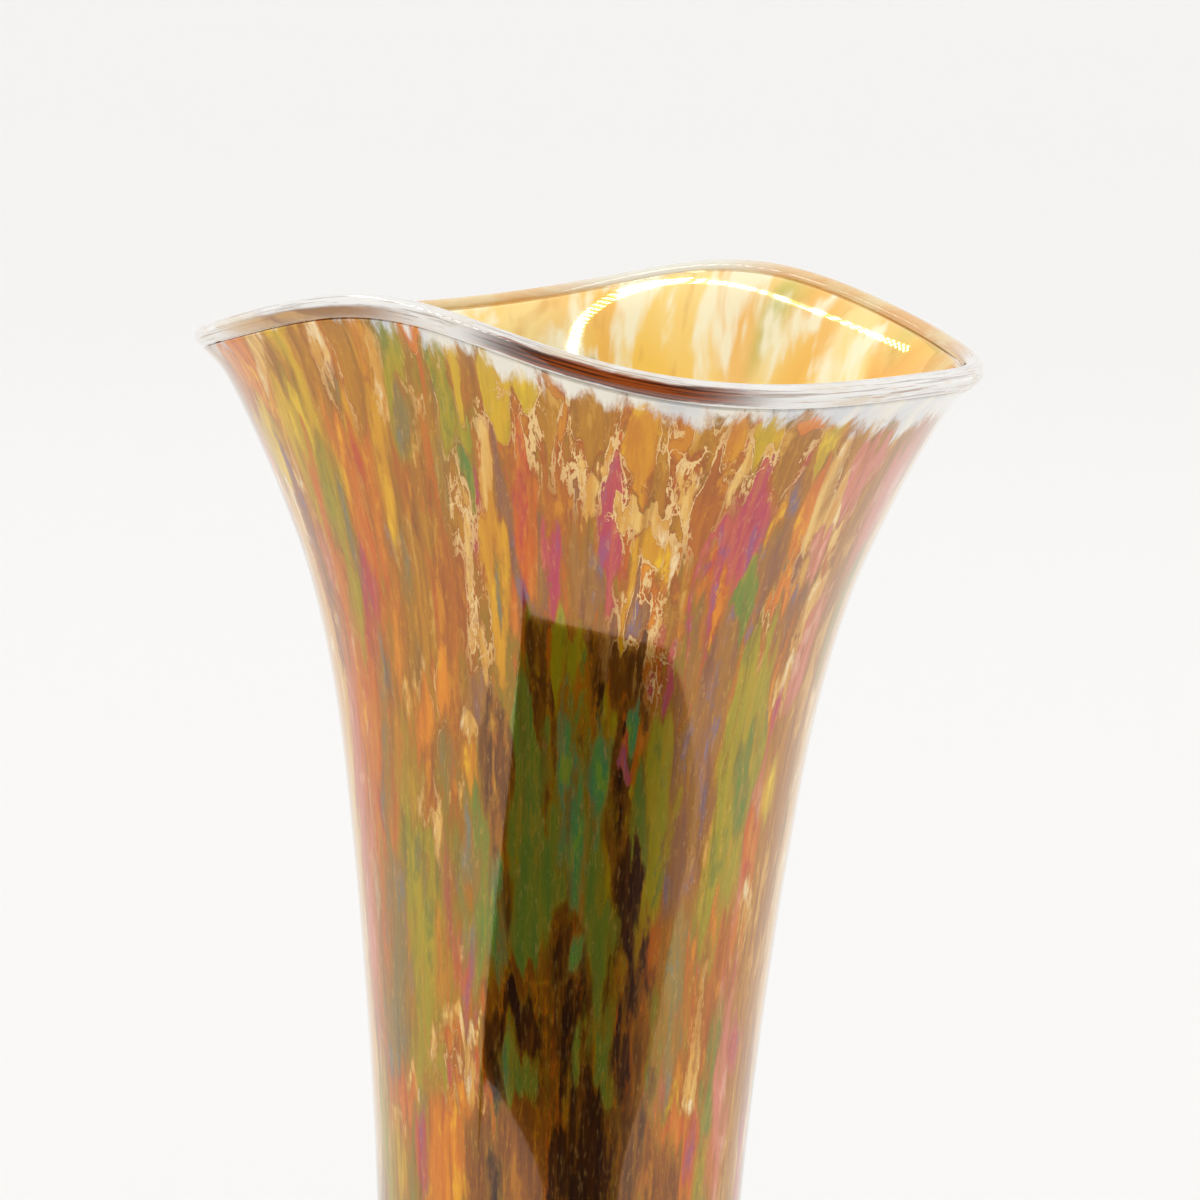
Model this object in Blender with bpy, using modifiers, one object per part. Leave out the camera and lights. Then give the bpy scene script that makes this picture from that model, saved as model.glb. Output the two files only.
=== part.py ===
"""Hand blown art glass vase with a ruffled trumpet mouth.

The vase is built the way it is blown. A thick-bottomed gather of amber glass lines it, an opal
layer and a layer of fused coloured glass are laid over that, and a clear casing covers the whole
bubble. A wrap of amber glass is laid over the open edge of the wall, and the vase stands on a foot
pad with a ground ring and a polished hollow where the pontil was broken off.

Every piece is first turned about +Z from its section. The mouth is then pulled into a ruffle: near
the lip each point moves up or down, and in or out, by a sum of waves around the axis.

Metres, +Z up, origin on the table at the middle of the foot.
"""

import bpy
from math import atan2, cos, hypot, pi, radians, sin

# Driving dimensions
LIP_HEIGHT = 0.287            # mean height of the wall's outer face where the lip wrap lies on it
LIP_RADIUS = 0.0629           # mean radius of the wall's outer face there
WAIST_HEIGHT = 0.108          # where the long neck is slimmest
WAIST_RADIUS = 0.0316
BOWL_HEIGHT = 0.032           # where the lower bowl is widest
BOWL_RADIUS = 0.0400

# Layers of the wall, from the outside in
CASING_THICKNESS = 0.0008
COLOUR_THICKNESS = 0.0005
OPAL_THICKNESS = 0.0005
LINING_THICKNESS = 0.0008
GAP = 0.0003                  # between neighbouring pieces
FLOOR_HEIGHT = 0.018          # top of the thick glass at the bottom of the hollow
COLOUR_STOP = 0.0060          # the coloured layer ends this far below the lip

# Bottom and foot
FLAT_RADIUS = 0.022           # of the flat underside of the bubble
FOOT_HEIGHT = 0.006
FOOT_RADIUS = 0.030
PONTIL_RADIUS = 0.015         # of the polished hollow under the foot
PONTIL_DEPTH = 0.0018

# Lip wrap
LIP_WRAP_RADIUS = 0.00195
LIP_WRAP_SEAT = 0.0010        # from the middle of the wrap down to its flat seat

# Ruffle: waves around the axis, as (waves in a turn, height in metres, angle of a crest)
RUFFLE = ((2, 0.00536, radians(56.8)), (3, 0.00054, radians(-34.5)), (4, 0.00163, radians(-35.1)))
RUFFLE_LENGTH = 0.120         # how far below the wall's edge the ruffle starts
LIFT_POWER = 7.0              # how fast the rise and fall grows towards the lip
SPREAD_POWER = 1.5            # how fast the push in and out grows towards the lip

# Fineness
TURN_STEPS = 40
WALL_STEPS = 15
RING_CROWDING = 1.5           # how much closer together the wall's rings are near the lip
LEAST_RING_SPACE = 0.0015     # between the wall's edge and the next ring
BOWL_STEPS = 4
WRAP_STEPS = 12
FOOT_EDGE_STEPS = 6
PONTIL_STEPS = 4
SLOPE_STEP = 0.0002           # half the height over which the wall's slope is measured
MERGE_DISTANCE = 0.00001      # points closer than this are one point
SHARP_ANGLE = radians(50.0)   # edges sharper than this are not smoothed over

# Height and radius of the wall's outer face, from the lip down to the widest part of the bowl
WALL_OUTLINE = (
    (LIP_HEIGHT, LIP_RADIUS),
    (LIP_HEIGHT - 0.005, 0.0589),
    (LIP_HEIGHT - 0.015, 0.0544),
    (LIP_HEIGHT - 0.027, 0.0497),
    (LIP_HEIGHT - 0.042, 0.0447),
    (LIP_HEIGHT - 0.062, 0.0406),
    (LIP_HEIGHT - 0.087, 0.0377),
    (LIP_HEIGHT - 0.117, 0.0350),
    (LIP_HEIGHT - 0.147, 0.0327),
    (WAIST_HEIGHT, WAIST_RADIUS),
    (0.078, 0.0338),
    (0.052, 0.0381),
    (BOWL_HEIGHT, BOWL_RADIUS),
)


def outline_slopes():
    """The outline's slope at each of its points, level at the lower end."""
    slopes = []
    last = len(WALL_OUTLINE) - 1
    for i in range(last + 1):
        high = WALL_OUTLINE[max(i - 1, 0)]
        low = WALL_OUTLINE[min(i + 1, last)]
        slopes.append((high[1] - low[1]) / (high[0] - low[0]))
    slopes[-1] = 0.0
    return slopes


SLOPES = outline_slopes()
LIP_LEAN = atan2(SLOPES[0], 1.0)

# Height of the wall's outer face at its edge, a gap below the wrap's flat seat
EDGE_HEIGHT = LIP_HEIGHT - (LIP_WRAP_SEAT + GAP) * cos(LIP_LEAN)


def wall_radius(height):
    """Outer radius of the wall: a smooth curve through the outline's points."""
    for i in range(len(WALL_OUTLINE) - 1):
        (top, radius_top), (bottom, radius_bottom) = WALL_OUTLINE[i], WALL_OUTLINE[i + 1]
        if height >= bottom or i == len(WALL_OUTLINE) - 2:
            break
    span = top - bottom
    t = (height - bottom) / span
    if t > 1.0:
        return radius_top + (height - top) * SLOPES[0]
    return ((2 * t**3 - 3 * t**2 + 1) * radius_bottom + (t**3 - 2 * t**2 + t) * span * SLOPES[i + 1]
            + (3 * t**2 - 2 * t**3) * radius_top + (t**3 - t**2) * span * SLOPES[i])


def wall_point(height, depth):
    """A point of the section this deep inside the wall's outer face."""
    wider = wall_radius(height + SLOPE_STEP) - wall_radius(height - SLOPE_STEP)
    slope = wider / (2 * SLOPE_STEP)
    length = hypot(1.0, slope)
    return wall_radius(height) - depth / length, height + depth * slope / length


def bowl_points(depth, bottom):
    """The rounded bottom of a layer, from its widest part to the axis."""
    across = BOWL_RADIUS - depth - FLAT_RADIUS
    down = BOWL_HEIGHT - bottom
    points = []
    for i in range(1, BOWL_STEPS + 1):
        angle = 0.5 * pi * i / BOWL_STEPS
        points.append((FLAT_RADIUS + across * cos(angle), BOWL_HEIGHT - down * sin(angle)))
    points.append((0.0, bottom))
    return points


def wall_heights(top):
    """Heights of the wall's rings below top, closer together near the lip."""
    fall = LIP_HEIGHT - BOWL_HEIGHT
    heights = [LIP_HEIGHT - fall * (i / WALL_STEPS) ** RING_CROWDING
               for i in range(1, WALL_STEPS + 1)]
    return [top] + [height for height in heights if height < top - LEAST_RING_SPACE]


def layer_face(top, depth, bottom=None):
    """One face of a layer, from its top edge to the axis."""
    if bottom is None:
        bottom = FOOT_HEIGHT + GAP + depth
    return [wall_point(height, depth) for height in wall_heights(top)] + bowl_points(depth, bottom)


def shell_section(outer, inner):
    """A layer's section: up its inner face from the axis, over its edge and down its outer face."""
    return list(reversed(inner)) + outer


def ruffled(x, y, z):
    """Where the ruffle takes a point of the turned shape. The lip wrap moves with the wall's edge."""
    rise = max(0.0, (min(z, EDGE_HEIGHT) - EDGE_HEIGHT + RUFFLE_LENGTH) / RUFFLE_LENGTH)
    radius = hypot(x, y)
    if rise == 0.0 or radius < MERGE_DISTANCE:
        return x, y, z
    angle = atan2(y, x)
    wave = sum(height * cos(count * (angle - crest)) for count, height, crest in RUFFLE)
    scale = (radius - rise**SPREAD_POWER * wave) / radius
    return x * scale, y * scale, z + rise**LIFT_POWER * wave


def glass_material(name, colour, roughness, metallic):
    material = bpy.data.materials.new(name)
    material.use_nodes = True
    shader = material.node_tree.nodes["Principled BSDF"]
    shader.inputs["Base Color"].default_value = (*colour, 1.0)
    shader.inputs["Roughness"].default_value = roughness
    shader.inputs["Metallic"].default_value = metallic
    material.diffuse_color = (*colour, 1.0)
    return material


def turned_piece(collection, name, section, material, closed=False):
    """A piece turned about +Z from its section, then ruffled."""
    mesh = bpy.data.meshes.new(name)
    edges = [(i, i + 1) for i in range(len(section) - 1)]
    if closed:
        edges.append((len(section) - 1, 0))
    mesh.from_pydata([(radius, 0.0, height) for radius, height in section], edges, [])
    piece = bpy.data.objects.new(name, mesh)
    collection.objects.link(piece)

    turn = piece.modifiers.new("Turn", "SCREW")
    turn.axis = "Z"
    turn.angle = 2 * pi
    turn.steps = TURN_STEPS
    turn.render_steps = TURN_STEPS
    turn.use_merge_vertices = True
    turn.merge_threshold = MERGE_DISTANCE
    depsgraph = bpy.context.evaluated_depsgraph_get()
    turned = bpy.data.meshes.new_from_object(piece.evaluated_get(depsgraph))
    piece.modifiers.remove(turn)
    piece.data = turned
    bpy.data.meshes.remove(mesh)

    turned.name = name
    for vertex in turned.vertices:
        vertex.co = ruffled(*vertex.co)
    turned.shade_smooth()
    turned.set_sharp_from_angle(angle=SHARP_ANGLE)
    turned.materials.append(material)
    return piece


def make_layers(collection):
    """The four nested layers of the bubble, each a cup with a closed bottom."""
    top = EDGE_HEIGHT
    colour_top = LIP_HEIGHT - COLOUR_STOP
    colour_depth = CASING_THICKNESS + GAP
    opal_depth = colour_depth + COLOUR_THICKNESS + GAP
    lining_depth = opal_depth + OPAL_THICKNESS + GAP
    hollow_depth = lining_depth + LINING_THICKNESS

    # above the coloured layer the casing is thicker and fills the layer's place
    thick = [wall_point(top, opal_depth - GAP), wall_point(colour_top + GAP, opal_depth - GAP)]
    casing = shell_section(layer_face(top, 0.0),
                           thick + layer_face(colour_top + GAP, CASING_THICKNESS))
    colour = shell_section(layer_face(colour_top, colour_depth),
                           layer_face(colour_top, opal_depth - GAP))
    opal = shell_section(layer_face(top, opal_depth), layer_face(top, lining_depth - GAP))
    lining = shell_section(layer_face(top, lining_depth),
                           layer_face(top, hollow_depth, FLOOR_HEIGHT))

    turned_piece(collection, "clear_casing", casing,
                 glass_material("clear_casing", (0.88, 0.86, 0.80), 0.04, 0.0))
    turned_piece(collection, "coloured_glass_layer", colour,
                 glass_material("coloured_glass_layer", (0.62, 0.33, 0.12), 0.25, 0.3))
    turned_piece(collection, "opal_layer", opal,
                 glass_material("opal_layer", (0.82, 0.83, 0.80), 0.2, 0.0))
    turned_piece(collection, "amber_lining", lining,
                 glass_material("amber_lining", (0.80, 0.50, 0.10), 0.12, 0.4))


def make_lip_wrap(collection):
    """A bead of glass that sits on the wall's edge, with a flat seat across the wall."""
    wall = CASING_THICKNESS + COLOUR_THICKNESS + OPAL_THICKNESS + LINING_THICKNESS + 3 * GAP
    middle_radius, middle_height = wall_point(LIP_HEIGHT, 0.5 * wall)
    half_seat = pi - atan2((LIP_WRAP_RADIUS**2 - LIP_WRAP_SEAT**2) ** 0.5, LIP_WRAP_SEAT)
    section = []
    for i in range(WRAP_STEPS + 1):
        turn = LIP_LEAN - half_seat + 2 * half_seat * i / WRAP_STEPS
        section.append((middle_radius + LIP_WRAP_RADIUS * sin(turn),
                        middle_height + LIP_WRAP_RADIUS * cos(turn)))
    turned_piece(collection, "lip_wrap", section,
                 glass_material("lip_wrap", (0.45, 0.20, 0.06), 0.04, 0.0), closed=True)


def make_foot(collection):
    """The foot pad, with a rounded edge, a ground ring to stand on and a polished hollow."""
    edge = 0.5 * FOOT_HEIGHT
    section = [(0.0, FOOT_HEIGHT)]
    for i in range(FOOT_EDGE_STEPS + 1):
        angle = pi * i / FOOT_EDGE_STEPS
        section.append((FOOT_RADIUS - edge + edge * sin(angle), edge + edge * cos(angle)))
    for i in range(PONTIL_STEPS):
        across = cos(0.5 * pi * i / PONTIL_STEPS)
        section.append((PONTIL_RADIUS * across, PONTIL_DEPTH * (1.0 - across**2)))
    section.append((0.0, PONTIL_DEPTH))
    turned_piece(collection, "foot_pad", section,
                 glass_material("foot_pad", (0.50, 0.28, 0.10), 0.06, 0.0))


def main():
    for old in list(bpy.data.objects):
        bpy.data.objects.remove(old, do_unlink=True)
    collection = bpy.data.collections.new("art_glass_vase")
    bpy.context.scene.collection.children.link(collection)
    make_layers(collection)
    make_lip_wrap(collection)
    make_foot(collection)


main()
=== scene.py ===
from math import atan, cos, hypot, pi, radians, sin

import bmesh
import bpy
import numpy as np
from mathutils import Matrix, Vector


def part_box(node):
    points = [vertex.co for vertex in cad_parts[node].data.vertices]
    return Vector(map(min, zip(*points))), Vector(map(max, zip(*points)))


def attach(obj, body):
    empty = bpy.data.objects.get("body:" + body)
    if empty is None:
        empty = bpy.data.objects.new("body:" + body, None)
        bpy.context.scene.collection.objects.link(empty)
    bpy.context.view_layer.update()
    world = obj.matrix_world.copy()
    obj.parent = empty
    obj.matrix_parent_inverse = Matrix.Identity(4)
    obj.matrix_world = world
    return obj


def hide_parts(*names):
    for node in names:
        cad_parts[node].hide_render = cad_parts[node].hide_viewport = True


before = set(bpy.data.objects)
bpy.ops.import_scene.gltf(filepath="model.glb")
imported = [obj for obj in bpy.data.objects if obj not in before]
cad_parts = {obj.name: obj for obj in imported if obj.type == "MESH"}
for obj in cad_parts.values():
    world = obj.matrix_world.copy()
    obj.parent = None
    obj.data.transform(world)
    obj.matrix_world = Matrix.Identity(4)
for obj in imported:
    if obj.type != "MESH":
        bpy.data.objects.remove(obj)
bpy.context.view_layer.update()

MM = 0.001

# ---------------------------------------------------------------- the vase's shape, as in the CAD

LIP_HEIGHT = 0.287
BOWL_HEIGHT = 0.032
BOWL_RADIUS = 0.0400
WALL_OUTLINE = (
    (LIP_HEIGHT, 0.0629), (LIP_HEIGHT - 0.005, 0.0589), (LIP_HEIGHT - 0.015, 0.0544),
    (LIP_HEIGHT - 0.027, 0.0497), (LIP_HEIGHT - 0.042, 0.0447), (LIP_HEIGHT - 0.062, 0.0406),
    (LIP_HEIGHT - 0.087, 0.0377), (LIP_HEIGHT - 0.117, 0.0350), (LIP_HEIGHT - 0.147, 0.0327),
    (0.108, 0.0316), (0.078, 0.0338), (0.052, 0.0381), (BOWL_HEIGHT, BOWL_RADIUS),
)
CASING_THICKNESS = 0.0008
LINING_DEPTH = 0.0027         # from the wall's outer face to the lining's outer face
WALL_THICKNESS = 0.0035
GAP = 0.0003
FLAT_RADIUS = 0.022
FLOOR_HEIGHT = 0.018
LIP_WRAP_RADIUS = 0.00195
LIP_WRAP_SEAT = 0.0010
FOOT_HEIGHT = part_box("foot_pad")[1].z
FOOT_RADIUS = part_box("foot_pad")[1].x
PONTIL_RADIUS = 0.015
PONTIL_DEPTH = 0.0018
RUFFLE = ((2, 0.00536, radians(56.8)), (3, 0.00054, radians(-34.5)), (4, 0.00163, radians(-35.1)))
RUFFLE_LENGTH = 0.120
LIFT_POWER = 7.0
SPREAD_POWER = 1.5

TURN_STEPS = 360              # columns of the fine meshes around the axis
BODY_TURN_STEPS = 540         # and of the casing, which carries the paint
RING_CROWDING = 1.25          # how much closer together the wall's rings are near the lip
SLOPE_STEP = 0.0002           # half the height over which the wall's slope is measured
LIP_STEPS = 36
FOOT_EDGE_STEPS = 16
PONTIL_STEPS = 12

STREAK_TOP = 0.290            # streaks are placed by their depth below this height
RANDOM_STREAKS = 1000
RANDOM_SEED = 11
SWAY_SEED = 5
FIELD_LIMIT = 3.0             # mm inside or outside a streak beyond which nothing changes
AXIS_RADIUS = 0.0001          # points on the axis are painted as if this far from it


def new_object(name, data):
    made = bpy.data.objects.new(name, data)
    bpy.context.scene.collection.objects.link(made)
    return made


def outline_slopes():
    """The outline's slope at each of its points, level at the lower end."""
    slopes = []
    last = len(WALL_OUTLINE) - 1
    for i in range(last + 1):
        high = WALL_OUTLINE[max(i - 1, 0)]
        low = WALL_OUTLINE[min(i + 1, last)]
        slopes.append((high[1] - low[1]) / (high[0] - low[0]))
    slopes[-1] = 0.0
    return slopes


SLOPES = outline_slopes()
LIP_LEAN = atan(SLOPES[0])

# Height of the wall's outer face at its edge, a gap below the bead's flat seat
EDGE_HEIGHT = LIP_HEIGHT - (LIP_WRAP_SEAT + GAP) * cos(LIP_LEAN)


def wall_radius(height):
    """Outer radius of the wall before it is ruffled."""
    for i in range(len(WALL_OUTLINE) - 1):
        (top, radius_top), (bottom, radius_bottom) = WALL_OUTLINE[i], WALL_OUTLINE[i + 1]
        if height >= bottom or i == len(WALL_OUTLINE) - 2:
            break
    span = top - bottom
    t = (height - bottom) / span
    if t > 1.0:
        return radius_top + (height - top) * SLOPES[0]
    return ((2 * t**3 - 3 * t**2 + 1) * radius_bottom + (t**3 - 2 * t**2 + t) * span * SLOPES[i + 1]
            + (3 * t**2 - 2 * t**3) * radius_top + (t**3 - t**2) * span * SLOPES[i])


def wall_point(height, depth):
    """A point of the section this deep inside the wall's outer face."""
    rise = wall_radius(height + SLOPE_STEP) - wall_radius(height - SLOPE_STEP)
    slope = rise / (2 * SLOPE_STEP)
    length = hypot(1.0, slope)
    return wall_radius(height) - depth / length, height + depth * slope / length


def wall_line(depth, bottom, rings, bowl_rings):
    """One face of a layer, from the wall's edge down and round the bowl to the axis."""
    fall = EDGE_HEIGHT - BOWL_HEIGHT
    line = [wall_point(EDGE_HEIGHT - fall * (i / rings) ** RING_CROWDING, depth)
            for i in range(rings + 1)]
    across = BOWL_RADIUS - depth - FLAT_RADIUS
    down = BOWL_HEIGHT - bottom
    for i in range(1, bowl_rings + 1):
        angle = 0.5 * pi * i / bowl_rings
        line.append((FLAT_RADIUS + across * cos(angle), BOWL_HEIGHT - down * sin(angle)))
    line.append((0.5 * FLAT_RADIUS, bottom))
    line.append((0.0, bottom))
    return line


def ruffle_wave(angle):
    return sum(height * np.cos(count * (angle - crest)) for count, height, crest in RUFFLE)


def ruffled(radius, angle, height):
    """Where the ruffle takes points of the turned shape, as arrays of x, y and z."""
    below = EDGE_HEIGHT - np.minimum(height, EDGE_HEIGHT)
    rise = np.maximum(0.0, (RUFFLE_LENGTH - below) / RUFFLE_LENGTH)
    wave = ruffle_wave(angle)
    radius = np.where(radius > 0.0, radius - rise**SPREAD_POWER * wave, 0.0)
    return radius * np.cos(angle), radius * np.sin(angle), height + rise**LIFT_POWER * wave


def turned_mesh(name, section, steps=TURN_STEPS):
    """A closed mesh turned from a section and ruffled. Points on the axis are single vertices.

    Returns the object, and each vertex's angle, unruffled radius and height, and section point.
    """
    closed = section[0][0] > 0.0
    radii = np.array([point[0] for point in section])
    heights = np.array([point[1] for point in section])
    angles = np.arange(steps) * 2 * pi / steps
    first = []
    rows = []
    columns = []
    total = 0
    for i, radius in enumerate(radii):
        first.append(total)
        count = steps if radius > 0.0 else 1
        rows.append(np.full(count, i))
        columns.append(angles[:count])
        total += count
    rows = np.concatenate(rows)
    columns = np.concatenate(columns)
    radius = radii[rows]
    height = heights[rows]
    x, y, z = ruffled(radius, columns, height)
    around = np.arange(steps)
    beyond = (around + 1) % steps
    faces = []
    for i in range(len(section) if closed else len(section) - 1):
        low = (i + 1) % len(section)
        a, b = first[i] + around, first[i] + beyond
        c, d = first[low] + around, first[low] + beyond
        if radii[i] == 0.0:
            faces += np.stack([np.full(steps, first[i]), c, d], 1).tolist()
        elif radii[low] == 0.0:
            faces += np.stack([a, np.full(steps, first[low]), b], 1).tolist()
        else:
            faces += np.stack([a, c, d, b], 1).tolist()
    mesh = bpy.data.meshes.new(name)
    mesh.from_pydata(np.stack([x, y, z], 1).tolist(), [], faces)
    mesh.validate()
    mesh.shade_smooth()
    return new_object(name, mesh), columns, radius, height, rows


def add_values(piece, name, values):
    layer = piece.data.attributes.new(name, "FLOAT", "POINT")
    layer.data.foreach_set("value", np.asarray(values, np.float32).ravel())


def add_vectors(piece, name, values):
    layer = piece.data.attributes.new(name, "FLOAT_VECTOR", "POINT")
    layer.data.foreach_set("vector", np.asarray(values, np.float32).ravel())


# ---------------------------------------------------------------- glass colours and streaks

# Each glass: its three tones, how soft its edges are beside the others', and how ragged
GLASSES = {
    "tan": ("C08840", "A67034", "DCAC66", 0.9, 1.0),
    "rust": ("BE7030", "A8602C", "D48C3E", 0.8, 1.0),
    "orange": ("E88E24", "D4741E", "F4B23A", 0.8, 1.0),
    "gold": ("E4A410", "D28C12", "F4C030", 0.8, 1.1),
    "amber": ("E09A0C", "CC7C10", "F0B822", 0.7, 1.1),
    "yellow": ("DDB026", "C2A030", "EFC850", 0.9, 1.0),
    "coral": ("D4764C", "DA9258", "C66456", 1.1, 1.0),
    "pink": ("BC5A68", "CC7466", "A4627A", 1.2, 1.2),
    "rose": ("DC9080", "D08866", "E6AC94", 1.2, 1.0),
    "mauve": ("93664E", "AA7A48", "86707C", 1.3, 1.0),
    "slate": ("8A7A50", "9E8248", "80806A", 1.3, 1.0),
    "olive": ("A0953A", "B69E42", "888438", 1.1, 1.0),
    "green": ("848A3A", "6C823C", "988E40", 1.1, 1.1),
    "emerald": ("6A9650", "5A8E60", "82A44A", 1.2, 1.1),
    "brown": ("7C4C22", "5E3A1E", "96622E", 0.9, 1.7),
    "copper": ("9C5A16", "7C4618", "B26E22", 0.9, 1.2),
    "umber": ("4C2A16", "341C12", "6C4020", 0.7, 1.5),
    "cream": ("F0C884", "DCA662", "FAE2B6", 0.6, 2.2),
}
NAMES = list(GLASSES)

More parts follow.
